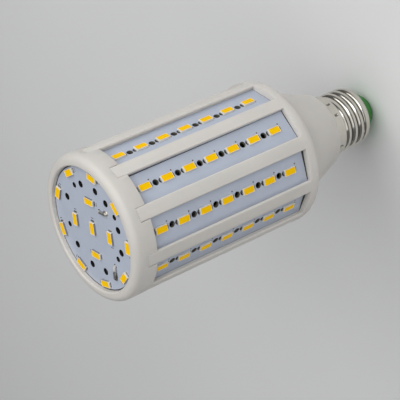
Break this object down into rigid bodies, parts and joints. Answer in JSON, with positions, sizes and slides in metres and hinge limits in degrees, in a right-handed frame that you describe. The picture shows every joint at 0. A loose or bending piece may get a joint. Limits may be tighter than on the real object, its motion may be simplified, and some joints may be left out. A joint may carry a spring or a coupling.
{
  "type": "corn led bulb",
  "caption": "Corn-type LED bulb: white ribbed cylindrical cage with flat LED strips behind its windows, a round LED board in the end and an E27 screw cap.",
  "frame": {"origin": "tip of the centre contact, on the axis of the bulb", "axes": "+Z along the axis of the bulb, from the cap to the LED end; the first strip board faces -Y"},
  "size_m": [0.063, 0.063, 0.1487],
  "materials": {
    "cap_metal": "nickel plated, softly polished",
    "insulator": "moulded green, slightly glossy",
    "contact": "worn",
    "housing": "fine satin moulding",
    "strip_mask": "white solder mask",
    "led_body": "white package",
    "phosphor": "yellow silicone filling",
    "driver_laminate": "plain laminate",
    "film_skin": "dipped",
    "black_case": "moulded",
    "can_sleeve": "shrunk sleeve",
    "resistor_paint": "painted",
    "wire_skin": "wire covering",
    "tinned_copper": "tinned"
  },
  "bodies": {
    "root": {"screw_shell": "cap_metal", "cap_insulator": "insulator", "centre_contact": "contact", "lamp_housing": "housing", "front_ring": "housing", "strip_board_01": "strip_mask", "strip_leds_01": "led_body", "strip_phosphor_01": "phosphor", "strip_board_02": "strip_mask", "strip_leds_02": "led_body", "strip_phosphor_02": "phosphor", "strip_board_03": "strip_mask", "strip_leds_03": "led_body", "strip_phosphor_03": "phosphor", "strip_board_04": "strip_mask", "strip_leds_04": "led_body", "strip_phosphor_04": "phosphor", "strip_board_05": "strip_mask", "strip_leds_05": "led_body", "strip_phosphor_05": "phosphor", "strip_board_06": "strip_mask", "strip_leds_06": "led_body", "strip_phosphor_06": "phosphor", "strip_board_07": "strip_mask", "strip_leds_07": "led_body", "strip_phosphor_07": "phosphor", "strip_board_08": "strip_mask", "strip_leds_08": "led_body", "strip_phosphor_08": "phosphor", "strip_board_09": "strip_mask", "strip_leds_09": "led_body", "strip_phosphor_09": "phosphor", "strip_board_10": "strip_mask", "strip_leds_10": "led_body", "strip_phosphor_10": "phosphor", "end_board": "strip_mask", "end_leds": "led_body", "end_phosphor": "phosphor", "driver_board": "driver_laminate", "film_capacitor": "film_skin", "bridge_rectifier": "black_case", "smoothing_capacitor": "can_sleeve", "fuse_resistor": "resistor_paint", "bleed_resistor": "resistor_paint", "live_lead": "wire_skin", "neutral_lead": "wire_skin", "positive_lead": "wire_skin", "negative_lead": "wire_skin", "strip_links": "tinned_copper", "feed_leads": "wire_skin"}
  },
  "joints": []
}
